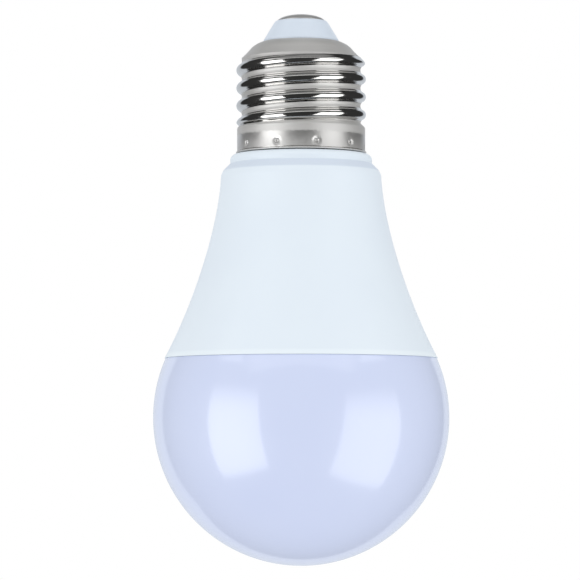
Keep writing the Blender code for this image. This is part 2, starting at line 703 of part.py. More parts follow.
def electrolytic(name, radius, length, top, lead_spread, lead_end_y):
    """Sleeved can along Z with a crimp bead; two leads bend over to the board."""
    x, y, z = top
    bead_z = -length + 2.0
    outline = [(0.0, 0.0), (radius - 0.4, 0.0), (radius, -0.4), (radius, bead_z + 0.6)]
    outline += [(radius - 0.35, bead_z), (radius, bead_z - 0.6), (radius, -length + 0.3)]
    outline += [(radius - 0.3, -length), (0.0, -length)]
    can = lathe(name, outline, CAN_SLEEVE, segments=24)
    place(can, top)
    foot_z = z - length
    for index, side in enumerate((-1, 1), 1):
        lead_x = x + side * lead_spread
        route = [(lead_x, y, foot_z + 0.6), (lead_x, y, foot_z - 0.7),
                 (lead_x, y + (lead_end_y - y) * 0.3, foot_z - 1.7), (lead_x, lead_end_y, foot_z - 2.0)]
        lead = wire_curve(f"{name}_lead_{index}", route, (0.3, 0.3), collection=CUTTERS)
        combine(can, as_mesh(lead), "UNION")
    solid = as_mesh(can)
    for index in (1, 2):
        bpy.data.objects.remove(bpy.data.objects[f"{name}_lead_{index}"], do_unlink=True)
    return solid


def transformer():
    """Ferrite frame with a middle leg, and the taped winding round that leg."""
    centre = (0.0, DRIVER_FRONT_Y - GAP - CORE_DEPTH, TRANSFORMER_Z)
    frame = rectangle((0.0, 0.0), CORE_WIDTH, CORE_HEIGHT)
    windows = [rectangle((side * 2.9, 0.0), WINDOW_WIDTH, WINDOW_HEIGHT) for side in (-1, 1)]
    core = plate("transformer_core", [frame] + windows, CORE_DEPTH, FERRITE)
    place(core, centre, (90, 0, 0))
    corners = ((2.6, 3.6, 0), (-2.6, 3.6, 90), (-2.6, -3.6, 180), (2.6, -3.6, 270))
    outside = []
    for x, y, start in corners:
        outside += arc((x, y), 1.4, start, start + 90, 4)
    inside = rectangle((0.0, 0.0), 3.6, 5.6)
    winding = plate("transformer_winding", [outside, inside], WINDING_HEIGHT, WINDING_TAPE)
    place(winding, centre)


def emi_choke():
    """Drum choke standing on the back of the board, its wound waist showing."""
    outline = [(0.0, 6.5), (3.6, 6.5), (3.6, 5.5), (3.0, 5.3), (3.0, 1.2), (3.6, 1.0), (3.6, 0.0)]
    choke = lathe("emi_choke", outline + [(0.0, 0.0)], FERRITE, segments=24)
    return place(choke, (CHOKE_X, DRIVER_BACK_Y + GAP, BACK_PARTS_Z), (-90, 0, 0))


def surface_parts():
    """Block-shaped parts on both sides of the driver board."""
    film = box("emi_capacitor", FILM_SIZE, FILM_YELLOW, bevel=0.6)
    place(film, (FILM_X, DRIVER_BACK_Y + GAP + FILM_SIZE[1] / 2, BACK_PARTS_Z))
    flat = (90, 0, 0)
    face_y = DRIVER_FRONT_Y - GAP
    bridge_centre = (BRIDGE_X, face_y - BRIDGE_SIZE[2] / 2, LOW_CHIPS_Z)
    chip("bridge_rectifier", BRIDGE_SIZE, 2, bridge_centre, flat)
    chip("driver_chip", SMALL_CHIP, 4, (DRIVER_CHIP_X, face_y - SMALL_CHIP[2] / 2, LOW_CHIPS_Z), flat)


def fusible_resistor():
    """Dog-bone resistor with short leads, inside its sleeve behind the neck's tongue."""
    outline = [(0.0, 6.5), (0.35, 6.5), (0.35, 4.3), (1.2, 4.2), (1.5, 3.8), (1.5, 2.6)]
    outline += [(1.25, 2.2)]
    lower = [(radius, -height) for radius, height in reversed(outline)]
    resistor = lathe("fusible_resistor", outline + lower, RESISTOR_BLUE, segments=16)
    place(resistor, RESISTOR_CENTRE)
    tube = [(2.1, 6.0), (2.1, -6.0), (1.8, -6.0), (1.8, 6.0)]
    sleeve = lathe("resistor_sleeve", tube, SLEEVE_BLACK, segments=16, ring=True)
    place(sleeve, RESISTOR_CENTRE)


def pin_header():
    """Header under the driver board; its pins reach through the LED board."""
    block_z = DRIVER_END_Z - GAP - HEADER_SIZE[2] / 2
    header = box("pin_header", HEADER_SIZE, CHIP_BLACK, bevel=0.2)
    place(header, (0.0, DRIVER_Y, block_z))
    top_z = block_z - HEADER_SIZE[2] / 4
    tip_z = BOARD_FACE_Z - GAP - 1.0
    for index in range(HEADER_PINS):
        pin = box(f"header_pin_{index + 1}", (PIN_WIDTH, PIN_WIDTH, top_z - tip_z), collection=CUTTERS)
        x = (index - (HEADER_PINS - 1) / 2) * HEADER_PITCH
        place(pin, (x, DRIVER_Y, (top_z + tip_z) / 2))
        combine(header, pin, "UNION")
    return header


# ---------------------------------------------------------------- wireless module and wires

def wifi_module():
    """Wireless board whose antenna end reaches through the LED board into the globe."""
    height = WIFI_TOP_Z - WIFI_END_Z
    outline = rectangle((0.0, (WIFI_TOP_Z + WIFI_END_Z) / 2), 2 * WIFI_HALF, height)
    board = plate("wifi_board", [outline], WIFI_THICKNESS, BLUE_BOARD)
    place(board, (0.0, WIFI_Y, 0.0), (90, 0, 0))
    shield = box("wifi_shield", SHIELD_SIZE, STEEL, bevel=0.35)
    place(shield, (0.0, WIFI_Y - WIFI_THICKNESS / 2 - GAP - SHIELD_SIZE[1] / 2, SHIELD_Z))


def wires():
    """Live wire from the contact to the sleeve; neutral wire over the neck's rim."""
    live = [(0.0, 0.0, SHANK_END_Z - GAP), (0.0, 0.6, -10.6), (0.0, 3.6, -11.6), (0.0, 6.0, -12.6),
            (0.0, 6.2, -14.2)]
    wire_curve("live_wire", live, (0.5, 0.5), WIRE_RED)
    neutral = [(-5.0, DRIVER_BACK_Y + 1.4, -15.0), (-5.4, DRIVER_BACK_Y + 1.4, -12.5),
               (-6.0, 4.0, -10.6), (-7.6, 3.0, -9.6), (-9.3, 2.2, -9.35), (-10.35, 1.6, -9.75),
               (-10.85, 1.2, -10.9), (-10.92, 1.1, -13.0), (-10.95, 0.7, -16.0), (-10.97, 0.2, -19.0)]
    wire_curve("neutral_wire", neutral, (0.45, 0.3), WIRE_BLACK)


def build_bulb():
    contact_eyelet()
    cap_insulator()
    screw_shell()
    housing()
    heat_sink_cup()
    globe_diffuser()
    globe_adhesive()
    led_board()
    thermal_pad()
    board_screws()
    white_leds()
    colour_leds()
    led_driver_chips()
    led_connector()
    driver_board()
    electrolytic("bulk_capacitor", BULK_R, BULK_LENGTH, BULK_TOP, 1.25, DRIVER_FRONT_Y - GAP)
    electrolytic("output_capacitor", OUTPUT_R, OUTPUT_LENGTH, OUTPUT_TOP, 1.0, DRIVER_BACK_Y + GAP)
    transformer()
    emi_choke()
    surface_parts()
    fusible_resistor()
    pin_header()
    wifi_module()
    wires()


build_bulb()
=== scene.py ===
import json
import math

import bpy
import numpy as np
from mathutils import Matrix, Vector


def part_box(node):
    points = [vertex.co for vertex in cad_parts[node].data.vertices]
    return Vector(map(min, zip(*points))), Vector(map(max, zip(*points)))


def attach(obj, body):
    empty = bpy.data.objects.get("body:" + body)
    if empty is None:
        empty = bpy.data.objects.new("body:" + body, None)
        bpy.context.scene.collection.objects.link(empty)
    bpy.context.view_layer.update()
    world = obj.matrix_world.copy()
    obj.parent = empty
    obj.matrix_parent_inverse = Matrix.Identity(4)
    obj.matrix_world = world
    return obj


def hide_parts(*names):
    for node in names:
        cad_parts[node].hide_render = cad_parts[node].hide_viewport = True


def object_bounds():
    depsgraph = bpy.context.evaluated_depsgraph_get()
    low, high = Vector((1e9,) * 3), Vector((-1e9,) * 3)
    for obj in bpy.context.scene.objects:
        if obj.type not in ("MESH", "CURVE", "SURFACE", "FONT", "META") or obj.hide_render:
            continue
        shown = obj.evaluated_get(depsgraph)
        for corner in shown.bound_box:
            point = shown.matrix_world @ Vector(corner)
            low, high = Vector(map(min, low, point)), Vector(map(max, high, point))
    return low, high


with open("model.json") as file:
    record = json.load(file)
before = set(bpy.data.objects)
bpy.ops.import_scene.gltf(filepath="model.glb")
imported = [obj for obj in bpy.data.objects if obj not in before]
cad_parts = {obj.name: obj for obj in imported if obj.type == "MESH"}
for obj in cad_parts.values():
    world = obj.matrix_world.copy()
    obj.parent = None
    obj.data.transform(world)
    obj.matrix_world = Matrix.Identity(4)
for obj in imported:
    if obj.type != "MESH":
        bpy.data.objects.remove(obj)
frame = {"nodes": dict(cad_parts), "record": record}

CAD_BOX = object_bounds()

MM = 0.001
REPLACED = ("screw_shell", "contact_eyelet", "cap_insulator", "housing", "globe_diffuser")

# Places and radii that the fixed frame already holds, in millimetres
SHELL_LOW, SHELL_HIGH = (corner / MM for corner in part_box("screw_shell"))
HOUSING_LOW, HOUSING_HIGH = (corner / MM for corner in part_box("housing"))
GLOBE_LOW, GLOBE_HIGH = (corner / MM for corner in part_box("globe_diffuser"))
INSULATOR_LOW, INSULATOR_HIGH = (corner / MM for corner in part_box("cap_insulator"))
CONTACT_LOW, CONTACT_HIGH = (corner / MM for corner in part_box("contact_eyelet"))
TIP_Z = CONTACT_HIGH.z
MOUTH_Z = SHELL_HIGH.z
RIM_Z = SHELL_LOW.z
SEAM_Z = HOUSING_LOW.z
GLOBE_R = (GLOBE_HIGH.x - GLOBE_LOW.x) / 2
GLOBE_CENTRE_Z = GLOBE_LOW.z + GLOBE_R
SEAM_R = (HOUSING_HIGH.x - HOUSING_LOW.x) / 2
CONTACT_R = (CONTACT_HIGH.x - CONTACT_LOW.x) / 2
INSULATOR_FLANGE_R = (INSULATOR_HIGH.x - INSULATOR_LOW.x) / 2

# Contact and insulator
LAND_R = 1.0
SHANK_R = 1.0
SEAT_R = 1.1
CONTACT_EDGE_Z = TIP_Z - 1.3
INSULATOR_TOP_Z = TIP_Z - 1.34
INSULATOR_MOUTH_R = 7.66

# E27 thread, rolled in the shell: right-hand, made of equal tangent arcs
THREAD_PITCH = 3.629
THREAD_MAJOR_R = 13.15
THREAD_ROOT_R = 12.03
THREAD_PHASE_Z = TIP_Z - 13.17
THREAD_TOP_Z = TIP_Z - 8.4
THREAD_FULL_Z = TIP_Z - 10.3
THREAD_FADE_Z = TIP_Z - 22.0
THREAD_END_Z = TIP_Z - 23.3
DOME_END_Z = TIP_Z - 8.9
SATIN_BAND_END_Z = TIP_Z - 24.6
SATIN_STREAKS = ((0.09, 97, 0), (0.07, 61, 2), (0.05, 151, 1))      # depth, waves round the cap, start
SHELL_WALL = 0.35
SHELL_MOUTH_R = 7.8
SHOULDER_R = 10.45
SHOULDER_END_Z = MOUTH_Z - 1.86
SKIRT_R = 12.98
LIP_R = THREAD_ROOT_R + 0.25
LIP_HEIGHT = 0.36
LIP_END_Z = RIM_Z - 0.1
LIP_TOP_Z = LIP_END_Z + LIP_HEIGHT
CREASE_HEIGHT = 0.06
CREASE_DEPTH = 0.1
THREAD_ROW = 0.11
SKIRT_ROW = 0.1

# Punch marks that lock the skirt to the housing's neck
DENT_COUNT = 10
DENT_Z = RIM_Z + 1.45
DENT_AZIMUTH = math.radians(-76.3)
DENT_DISH_R = 1.15
DENT_DISH_DEPTH = 0.16
DENT_PIT_R = 0.62
DENT_PIT_DEPTH = 0.38

# Lap mark where the rolled rim closes on itself
LAP_AZIMUTH = math.radians(-107)
LAP_HALF_WIDTH = 0.9
LAP_DEPTH = 0.13

# Housing
WALL = 1.2
COLLAR_R = 14.38
COLLAR_TOP_Z = RIM_Z - 0.3
COLLAR_FILLET = 1.2
COLLAR_SEAT_R = 12.2
COLLAR_END_Z = TIP_Z - 30.35
SHOULDER_BAND_R = 15.85
SHOULDER_BAND_END_Z = TIP_Z - 31.85
BODY_TOP = (16.22, TIP_Z - 32.8)
BODY_TOP_SLOPE = 0.051
BODY_SEAM_SLOPE = 0.529
BODY_REACH = 10.775
INNER_TOP_R = 14.7
INNER_TOP_Z = TIP_Z - 34.2
NECK_BORE_R = 9.3
GLOBE_SEAT = 2.5

# Globe's lip, inside the housing's mouth
GLOBE_GAP = 0.03
LIP_INNER_R = 23.0
LIP_OUTER_R = 24.1
LIP_SHOULDER = 1.3


def smoothstep(low, high, value):
    t = np.clip((value - low) / (high - low), 0, 1)
    return t * t * (3 - 2 * t)


# ---------------------------------------------------------------- outlines

def arc(centre, radius, start, end, steps):
    """Points of an arc from start to end degrees, both ends included."""
    angles = np.radians(np.linspace(start, end, steps + 1))
    return [(centre[0] + radius * math.cos(a), centre[1] + radius * math.sin(a)) for a in angles]


def bezier(start, start_handle, end_handle, end, steps):
    p0, p1, p2, p3 = (np.array(p, float) for p in (start, start_handle, end_handle, end))
    shares = np.linspace(0, 1, steps + 1)[:, None]
    rest = 1 - shares
    curve = rest ** 3 * p0 + 3 * rest ** 2 * shares * p1 + 3 * rest * shares ** 2 * p2 + shares ** 3 * p3
    return [tuple(point) for point in curve]


def rounded(corners, steps=5):
    """A polyline whose corners (radius, height, fillet) are rounded off."""
    points = []
    for i, (r, z, fillet) in enumerate(corners):
        here = np.array((r, z))
        if fillet == 0 or i in (0, len(corners) - 1):
            points.append((r, z))
            continue
        back = np.array(corners[i - 1][:2]) - here
        ahead = np.array(corners[i + 1][:2]) - here
        reach_back = min(fillet, np.linalg.norm(back) * 0.49)
        reach_ahead = min(fillet, np.linalg.norm(ahead) * 0.49)
        start = here + back / np.linalg.norm(back) * reach_back
        end = here + ahead / np.linalg.norm(ahead) * reach_ahead
        for t in np.linspace(0, 1, steps + 1):
            points.append(tuple((1 - t) ** 2 * start + 2 * t * (1 - t) * here + t * t * end))
    return points


def offset_inward(outline, distance):
    points = np.array(outline)
    along = np.gradient(points, axis=0)
    inward = np.stack((along[:, 1], -along[:, 0]), axis=1)
    inward /= np.linalg.norm(inward, axis=1)[:, None]
    return [tuple(point) for point in points + inward * distance]


# ---------------------------------------------------------------- turned pieces

def turned(name, outline, azimuths, ring=True, shift=None):
    """Turn an outline of (radius, height) that runs down its outer side about Z.

    A ring's outline closes on itself; otherwise both its ends lie on the axis.
    shift(azimuth, radius, height) gives how far each point moves outwards.
    """
    outline = np.array(outline, float)
    columns = len(azimuths)
    body = outline if ring else outline[1:-1]
    rows = len(body)
    angle = np.repeat(azimuths, rows)
    radius = np.tile(body[:, 0], columns)
    height = np.tile(body[:, 1], columns)
    moved = radius if shift is None else radius + shift(angle, radius, height)
    points = np.stack((moved * np.cos(angle), moved * np.sin(angle), height), axis=1)
    faces = []
    for a in range(columns):
        here, there = a * rows, (a + 1) % columns * rows
        for k in range(rows if ring else rows - 1):
            below = (k + 1) % rows
            faces.append((here + k, here + below, there + below, there + k))
    if not ring:
        top, bottom = len(points), len(points) + 1
        ends = [(0, 0, outline[0, 1]), (0, 0, outline[-1, 1])]
        points = np.concatenate((points, ends))
        for a in range(columns):
            here, there = a * rows, (a + 1) % columns * rows
            faces.append((top, here, there))
            faces.append((bottom, there + rows - 1, here + rows - 1))
    mesh = bpy.data.meshes.new(name)
    mesh.from_pydata([tuple(point * MM) for point in points], [], faces)
    mesh.shade_smooth()
    mesh.set_sharp_from_angle(angle=math.radians(50))
    piece = bpy.data.objects.new(name, mesh)
    bpy.context.scene.collection.objects.link(piece)
    return piece


def even_azimuths(count):
    return np.arange(count) * 2 * math.pi / count


def dent_azimuths():
    """Columns round the shell, close together where the punch marks are."""
    sector = 2 * math.pi / DENT_COUNT
    near = math.radians(6)
    fine = np.linspace(-near, near, 33)
    coarse = np.linspace(near, sector - near, 19)[1:-1]
    one = np.concatenate((fine, coarse))
    return np.concatenate([one + DENT_AZIMUTH + sector * k for k in range(DENT_COUNT)])


def thread_profile(turns):
    """Height of the thread above its root, for a distance from the crest in turns."""
    depth = THREAD_MAJOR_R - THREAD_ROOT_R
    quarter = THREAD_PITCH / 4
    arc_r = (quarter ** 2 + (depth / 2) ** 2) / depth
    away = np.abs(turns - np.round(turns)) * THREAD_PITCH
    crest = depth - arc_r + np.sqrt(np.maximum(arc_r ** 2 - away ** 2, 0))
    root = arc_r - np.sqrt(np.maximum(arc_r ** 2 - (2 * quarter - away) ** 2, 0))
    return np.where(away < quarter, crest, root)


def thread_rise(azimuth, height):
    """Height of the thread alone above the root, grown out of the dome and fading at the skirt."""
    turns = (height - THREAD_PHASE_Z) / THREAD_PITCH - azimuth / (2 * math.pi)
    grown = smoothstep(-THREAD_TOP_Z, -THREAD_FULL_Z, -height)
    faded = 1 - smoothstep(-THREAD_FADE_Z, -THREAD_END_Z, -height)
    return thread_profile(turns) * grown * faded


def dent_distance(azimuth, height):
    """Distance from the nearest punch mark's middle, and its part along the skirt."""
    turn = (azimuth - DENT_AZIMUTH) * DENT_COUNT / (2 * math.pi)
    along = (turn - np.round(turn)) * 2 * math.pi / DENT_COUNT * SKIRT_R
    return np.hypot(along, height - DENT_Z), along


def shell_shift(azimuth, radius, height):
    """Thread, skirt, punch marks and the rim's lap, as outward moves from the root radius."""
    skirt = (SKIRT_R - THREAD_ROOT_R) * smoothstep(-THREAD_FADE_Z, -THREAD_END_Z, -height)
    rise = np.maximum(thread_rise(azimuth, height), skirt)
    away, along = dent_distance(azimuth, height)
    ragged = 1 + 0.18 * np.sin(along * 9 + azimuth * 31) + 0.12 * np.cos((height - DENT_Z) * 11)
    dish = DENT_DISH_DEPTH * (1 - smoothstep(0.2, DENT_DISH_R, away))
    pit = DENT_PIT_DEPTH * (1 - smoothstep(0.12, DENT_PIT_R, away * ragged))
    from_lap = (azimuth - LAP_AZIMUTH + math.pi) % (2 * math.pi) - math.pi
    lap = np.abs(from_lap) * SKIRT_R / LAP_HALF_WIDTH
    on_lip = smoothstep(THREAD_ROOT_R, LIP_R, radius)
    step = LAP_DEPTH * on_lip * (smoothstep(0.2, 0.5, lap) - smoothstep(0.8, 1.0, lap))
    return rise - dish - pit - step


def screw_shell():
    shoulder = bezier((SHELL_MOUTH_R, MOUTH_Z - 0.2), (8.75, MOUTH_Z - 0.45), (9.9, MOUTH_Z - 1.1),
                      (SHOULDER_R, SHOULDER_END_Z), 16)
    slope = bezier((SHOULDER_R, SHOULDER_END_Z), (SHOULDER_R + 0.3, SHOULDER_END_Z - 0.38),
                   (THREAD_ROOT_R - 0.58, DOME_END_Z + 0.54), (THREAD_ROOT_R, DOME_END_Z), 10)
    dome = shoulder + slope[1:]
    thread_zone = np.arange(DOME_END_Z - THREAD_ROW, THREAD_END_Z, -THREAD_ROW)
    skirt_zone = np.arange(THREAD_END_Z, LIP_TOP_Z + 2 * CREASE_HEIGHT, -SKIRT_ROW)
    wall = [(THREAD_ROOT_R, z) for z in np.concatenate((thread_zone, skirt_zone))]
    bead_r = LIP_HEIGHT / 2
    crease = [(THREAD_ROOT_R, LIP_TOP_Z + CREASE_HEIGHT), (THREAD_ROOT_R - CREASE_DEPTH, LIP_TOP_Z)]
    lip = arc((LIP_R - bead_r, LIP_END_Z + bead_r), bead_r, 65, -90, 10)
    outer = dome + wall + crease + lip
    inner = offset_inward(dome, SHELL_WALL)
    inner += [(THREAD_ROOT_R - SHELL_WALL, z) for _, z in wall]
    inner.append((THREAD_ROOT_R - SHELL_WALL, LIP_END_Z))
    return turned("cap_shell", outer + inner[::-1], dent_azimuths(), shift=lambda a, r, z:
                  np.where(z < THREAD_TOP_Z, shell_shift(a, r, z), 0.0))


def contact():
    """Domed button with a rolled edge; its flat land is where a holder's spring presses."""
    dome = bezier((LAND_R, TIP_Z), (2.6, TIP_Z - 0.12), (4.2, TIP_Z - 0.55),
                  (CONTACT_R - 0.08, TIP_Z - 1.1), 18)
    edge = arc((CONTACT_R - 0.16, CONTACT_EDGE_Z + 0.06), 0.16, 40, -90, 6)
    outline = [(0, TIP_Z), (LAND_R / 2, TIP_Z)] + dome + edge
    outline += [(SHANK_R, CONTACT_EDGE_Z - 0.1), (SHANK_R, CONTACT_LOW.z), (0, CONTACT_LOW.z)]
    return turned("contact_button", outline, even_azimuths(96), ring=False)


def insulator():
    """Moulded cone with a shallow seat for the contact, and a flange inside the dome."""
    seat_z = CONTACT_EDGE_Z - 0.14
    corners = [(SEAT_R, seat_z, 0), (CONTACT_R + 0.03, seat_z, 0.04),
               (CONTACT_R + 0.06, INSULATOR_TOP_Z, 0.05), (5.2, INSULATOR_TOP_Z, 0.15),
               (5.62, TIP_Z - 1.9, 0.5), (INSULATOR_MOUTH_R, MOUTH_Z + 0.1, 0.15),
               (INSULATOR_MOUTH_R, TIP_Z - 6.3, 0), (INSULATOR_FLANGE_R, TIP_Z - 6.75, 0.1),
               (INSULATOR_FLANGE_R, INSULATOR_LOW.z, 0), (SEAT_R, INSULATOR_LOW.z, 0)]
    return turned("insulator_cone", rounded(corners), even_azimuths(96))


def housing():
    """Collar, shoulder and flared body, with the mouth that takes the globe's lip."""
    seam = (SEAM_R, SEAM_Z)
    body = bezier(BODY_TOP, (BODY_TOP[0] + BODY_TOP_SLOPE * BODY_REACH, BODY_TOP[1] - BODY_REACH),
                  (SEAM_R - BODY_SEAM_SLOPE * BODY_REACH, SEAM_Z + BODY_REACH), seam, 56)
    fillet = arc((COLLAR_R - COLLAR_FILLET, COLLAR_TOP_Z - COLLAR_FILLET), COLLAR_FILLET, 90, 0, 10)
    waist = [(COLLAR_R, COLLAR_TOP_Z - COLLAR_FILLET, 0), (COLLAR_R - 0.05, COLLAR_END_Z, 0.12),
             (SHOULDER_BAND_R, SHOULDER_BAND_END_Z, 0.5), (BODY_TOP[0], BODY_TOP[1], 0)]
    outer = [(COLLAR_SEAT_R, COLLAR_TOP_Z)] + fillet[:-1] + rounded(waist, 6)[:-1] + body[:-1]
    outer += [(SEAM_R - 0.01, SEAM_Z + 0.05), (SEAM_R - 0.05, SEAM_Z)]
    inner = [(COLLAR_SEAT_R, RIM_Z - 1.0), (NECK_BORE_R, RIM_Z - 2.3), (INNER_TOP_R, INNER_TOP_Z + 0.4)]
    inner += [point for point in offset_inward(body, WALL) if INNER_TOP_Z > point[1] > SEAM_Z + 3.5][::4]
    inner += [(SEAM_R - GLOBE_SEAT, SEAM_Z + 2.3), (SEAM_R - GLOBE_SEAT, SEAM_Z)]
    return turned("housing_body", outer + inner[::-1], even_azimuths(144))


def globe():
    seam_z = SEAM_Z - GLOBE_GAP
    start = math.degrees(math.asin((seam_z - 0.05 - GLOBE_CENTRE_Z) / GLOBE_R))
    outside = arc((0, GLOBE_CENTRE_Z), GLOBE_R, start, -90, 96)
    outside[-1] = (0, GLOBE_LOW.z)
    inner_r = GLOBE_R - WALL
    inner_start = math.degrees(math.asin((seam_z - LIP_SHOULDER - GLOBE_CENTRE_Z) / inner_r))
    inside = arc((0, GLOBE_CENTRE_Z), inner_r, -90, inner_start, 32)
    inside[0] = (0, GLOBE_CENTRE_Z - inner_r)
    lip = [(LIP_INNER_R, seam_z - LIP_SHOULDER), (LIP_INNER_R, GLOBE_HIGH.z),
           (LIP_OUTER_R, GLOBE_HIGH.z), (LIP_OUTER_R, seam_z)]
    shoulder = [(outside[0][0] - 0.05, seam_z), (outside[0][0] - 0.01, seam_z - 0.02)]
    return turned("globe_shell", inside + lip + shoulder + outside, even_azimuths(160), ring=False)


# ---------------------------------------------------------------- materials

class Shader:
    """A Principled material whose patterns are made from procedural nodes."""

    def __init__(self, name, colour, roughness, metallic=0.0, **sockets):
        self.material = bpy.data.materials.new(name)
        self.material.use_nodes = True
        self.nodes = self.material.node_tree.nodes
        self.links = self.material.node_tree.links
        self.shader = self.nodes["Principled BSDF"]
        self.shader.inputs["Base Color"].default_value = (*colour, 1)
        self.shader.inputs["Roughness"].default_value = roughness
        self.shader.inputs["Metallic"].default_value = metallic
        for socket, value in sockets.items():
            self.shader.inputs[socket.replace("_", " ")].default_value = value
        self.place = self.nodes.new("ShaderNodeTexCoord").outputs["Object"]

    def noise(self, scale, detail=3.0, stretch=(1, 1, 1)):
        mapping = self.nodes.new("ShaderNodeMapping")
        mapping.inputs["Scale"].default_value = stretch
        self.links.new(self.place, mapping.inputs["Vector"])
        noise = self.nodes.new("ShaderNodeTexNoise")
        noise.inputs["Scale"].default_value = scale
        noise.inputs["Detail"].default_value = detail
        self.links.new(mapping.outputs["Vector"], noise.inputs["Vector"])
        return noise.outputs["Fac"]

    def wave(self, scale, direction):
        """Fine parallel ridges across one of the object's axes."""
        ridges = self.nodes.new("ShaderNodeTexWave")
        ridges.bands_direction = direction
        ridges.inputs["Scale"].default_value = scale / (2 * math.pi)
        self.links.new(self.place, ridges.inputs["Vector"])
        return ridges.outputs["Fac"]

    def cells(self, scale):
        """Distance from the middle of square-sided cells."""
        cells = self.nodes.new("ShaderNodeTexVoronoi")
        cells.distance = "CHEBYCHEV"
        cells.inputs["Scale"].default_value = scale
        self.links.new(self.place, cells.inputs["Vector"])
        return cells.outputs["Distance"]

    def attribute(self, name):
        reader = self.nodes.new("ShaderNodeAttribute")
        reader.attribute_name = name
        return reader.outputs["Fac"]

    def axis(self, vector, letter):
        split = self.nodes.new("ShaderNodeSeparateXYZ")
        self.links.new(vector, split.inputs["Vector"])
        return split.outputs[letter]

    def combined(self, operation, first, second):
        """A Math node on two patterns, or on a pattern and a number."""
        step = self.nodes.new("ShaderNodeMath")
        step.operation = operation
        for socket, value in zip(step.inputs, (first, second)):
            if isinstance(value, (int, float)):
                socket.default_value = value
            else:
                self.links.new(value, socket)
        return step.outputs[0]

    def spread(self, pattern, low, high, pattern_low=0.3, pattern_high=0.7, smooth=False):
        """Map a pattern's middle range onto a range of values."""
        remap = self.nodes.new("ShaderNodeMapRange")
        remap.interpolation_type = "SMOOTHSTEP" if smooth else "LINEAR"
        for socket, value in zip(("From Min", "From Max", "To Min", "To Max"),
                                 (pattern_low, pattern_high, low, high)):
            remap.inputs[socket].default_value = value
        self.links.new(pattern, remap.inputs["Value"])
        return remap.outputs["Result"]

    def tint(self, pattern, first, second, pattern_low=0.3, pattern_high=0.7):
        """Mix two colours by a pattern and use the result as the base colour."""
        ramp = self.nodes.new("ShaderNodeValToRGB")
        ramp.color_ramp.elements[0].position = pattern_low
        ramp.color_ramp.elements[1].position = pattern_high
        ramp.color_ramp.elements[0].color = (*first, 1)
        ramp.color_ramp.elements[1].color = (*second, 1)
        self.links.new(pattern, ramp.inputs["Fac"])
        self.links.new(ramp.outputs["Color"], self.shader.inputs["Base Color"])

    def drive(self, pattern, socket):
        self.links.new(pattern, self.shader.inputs[socket])

    def rough(self, pattern, low, high):
        self.drive(self.spread(pattern, low, high), "Roughness")

    def bump(self, pattern, height_mm, strength=1.0):
        bump = self.nodes.new("ShaderNodeBump")
        bump.inputs["Strength"].default_value = strength
        bump.inputs["Distance"].default_value = height_mm * MM
        self.links.new(pattern, bump.inputs["Height"])
        self.drive(bump.outputs["Normal"], "Normal")


def nickel():
    """Bright plate: polished where the rollers pressed, satin where the blank's finish is left."""
    made = Shader("nickel", (0.66, 0.65, 0.63), 0.2, 1.0)
    grain = made.noise(1500, 2.0)
    broad = made.noise(120, 3.0)
    made.tint(broad, (0.64, 0.635, 0.62), (0.69, 0.685, 0.675))
    ragged = made.combined("ADD", made.attribute("satin"), made.spread(grain, -0.03, 0.03))
    finish = made.spread(ragged, 0, 1, 0.05, 0.95, smooth=True)
    base = made.spread(finish, 0.11, 0.52, 0, 1)
    made.drive(made.combined("ADD", base, made.spread(broad, -0.02, 0.03)), "Roughness")
    made.drive(made.spread(finish, 1.0, 0.62, 0, 1), "Metallic")
    made.bump(grain, 0.004)
    return made.material


def shell_places(piece):
    """Azimuth in radians, and radius and height in millimetres, of each of a piece's points."""
    places = np.empty(len(piece.data.vertices) * 3)
    piece.data.vertices.foreach_get("co", places)
    x, y, z = places.reshape(-1, 3).T / MM
    return np.arctan2(y, x), np.hypot(x, y), z


def satin_finish(piece):
    """Store how satin each point of the cap is: 1 is the blank's own finish, 0 is polished."""
    azimuth, radius, z = shell_places(piece)
    crest = smoothstep(0.06, 0.2, thread_rise(azimuth, z) / (THREAD_MAJOR_R - THREAD_ROOT_R))
    streaks = sum(depth * np.sin(azimuth * waves + start) for depth, waves, start in SATIN_STREAKS)
    below = SATIN_BAND_END_Z + streaks - z
    skirt = smoothstep(-0.15, 0.25, below) * (0.49 - 0.15 * smoothstep(0.5, 3.2, below))
    satin = np.maximum(1 - crest - skirt, 0)
    satin = np.where(z < LIP_TOP_Z + 0.02, 1.0, satin)
    satin = np.where(np.abs(z - LIP_TOP_Z - CREASE_HEIGHT / 2) < CREASE_HEIGHT, 0.0, satin)
    satin = np.where(radius < CONTACT_R + 0.1, 0.6, satin)
    stored = piece.data.attributes.new("satin", "FLOAT", "POINT")
    stored.data.foreach_set("value", satin.astype(np.float32))


def housing_plastic():
    """Fine satin moulding, with a painted glow of light along its thin bottom edge and painted shade on the
    shoulder under the collar.
    """
    made = Shader("housing_plastic", (0.78, 0.84, 0.90), 0.45, Specular_IOR_Level=0.35)
    grain = made.noise(2600, 2.0)
    cloud = made.noise(45, 3.0)
    height = made.axis(made.place, "Z")
    # painted light: the base colour is lightened in a band just above the seam, a painted glow along the
    # thin bottom edge
    edge = made.spread(height, 1, 0, (SEAM_Z + 0.6) * MM, (SEAM_Z + 1.3) * MM, smooth=True)
    # painted shade: the base colour is darkened on the shoulder band between the collar and the body
    above = made.spread(height, 1, 0, (COLLAR_END_Z - 0.2) * MM, COLLAR_END_Z * MM, smooth=True)
    band_end = SHOULDER_BAND_END_Z * MM
    below = made.spread(height, 0, 1, band_end - 0.25 * MM, band_end + 0.05 * MM, smooth=True)
    shoulder = made.combined("MULTIPLY", above, below)
    light = made.combined("ADD", made.spread(cloud, 0.42, 0.54), made.combined("MULTIPLY", edge, 0.2))
    shade = made.combined("SUBTRACT", light, made.combined("MULTIPLY", shoulder, 0.4))
    made.tint(shade, (0.655, 0.735, 0.85), (0.885, 0.965, 1.0), 0.0, 1.0)
    made.rough(grain, 0.40, 0.50)
    made.bump(grain, 0.006)
    return made.material


